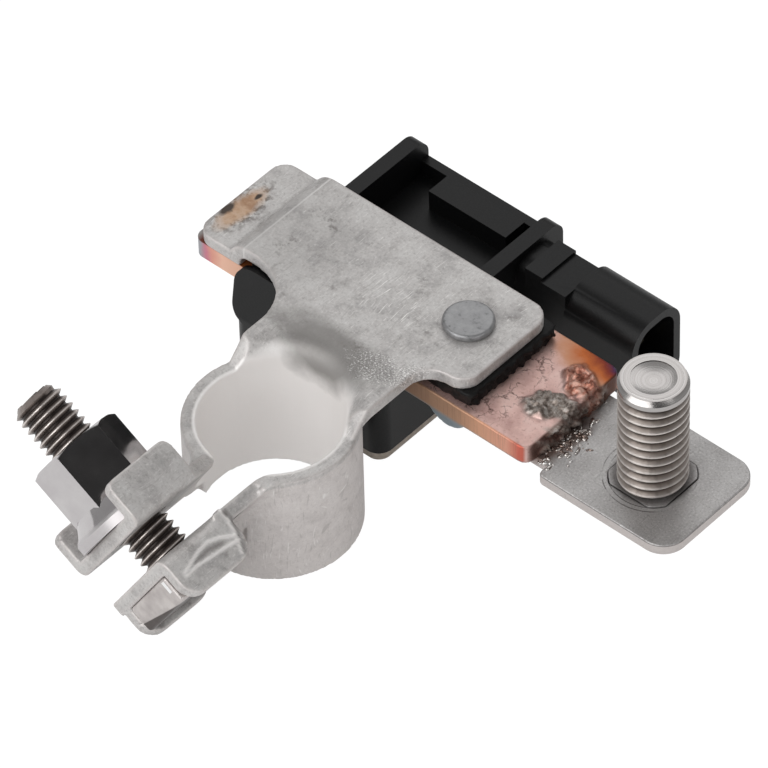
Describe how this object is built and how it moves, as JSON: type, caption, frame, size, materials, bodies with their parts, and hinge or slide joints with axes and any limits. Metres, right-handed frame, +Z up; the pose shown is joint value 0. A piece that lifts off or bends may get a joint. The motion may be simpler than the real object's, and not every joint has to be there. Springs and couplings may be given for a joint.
{
  "type": "battery current sensor",
  "caption": "Battery current sensor: post clamp with flange nut, shunt bar, moulded housing with connector and ground stud.",
  "frame": {"origin": "on the axis of the post ring, at the ring's lower edge", "axes": "+Z up the battery post, +X along the shunt to the ground stud, clamp gap towards -Y"},
  "size_m": [0.0706, 0.0709, 0.0291],
  "materials": {
    "tinned_sheet": "matte tin plating, mottled and scratched",
    "bolt_steel": "dark rolled thread",
    "plated_nut": "polished nickel plating",
    "pad_plastic": "matte black insulation",
    "tinted_copper": "copper with heat tint",
    "resistor_alloy": "resistor alloy, brown-grey",
    "ground_sheet": "matte grey sheet with weld spatter",
    "stud_steel": "rolled thread, bright crests",
    "housing_plastic": "moulded black plastic",
    "cover_plastic": "beige sealing compound",
    "board_laminate": "green board",
    "chip_plastic": "black moulding compound",
    "ceramic": "ceramic capacitor",
    "pin_metal": "tinned brass"
  },
  "bodies": {
    "sensor": {"post_clamp": "tinned_sheet", "clamp_bolt": "bolt_steel", "insulator_pad": "pad_plastic", "rivet": "tinned_sheet", "rivet_bush": "pad_plastic", "shunt_copper_left": "tinted_copper", "shunt_resistor": "resistor_alloy", "shunt_copper_right": "tinted_copper", "ground_plate": "ground_sheet", "ground_stud": "stud_steel", "housing": "housing_plastic", "base_cover": "cover_plastic", "circuit_board": "board_laminate", "sensor_chip": "chip_plastic", "supply_capacitor": "ceramic", "bus_capacitor": "ceramic", "protection_diode": "chip_plastic", "sense_pin_left": "pin_metal", "sense_pin_right": "pin_metal", "bus_pin": "pin_metal", "supply_pin": "pin_metal"},
    "nut": {"clamp_nut": "plated_nut"}
  },
  "joints": [
    {"name": "nut_turn", "type": "hinge", "parent": "sensor", "child": "nut", "pos_m": [-0.00813, -0.0185, 0.01478], "axis": [-0.8572, 0, 0.515], "continuous": true}
  ]
}
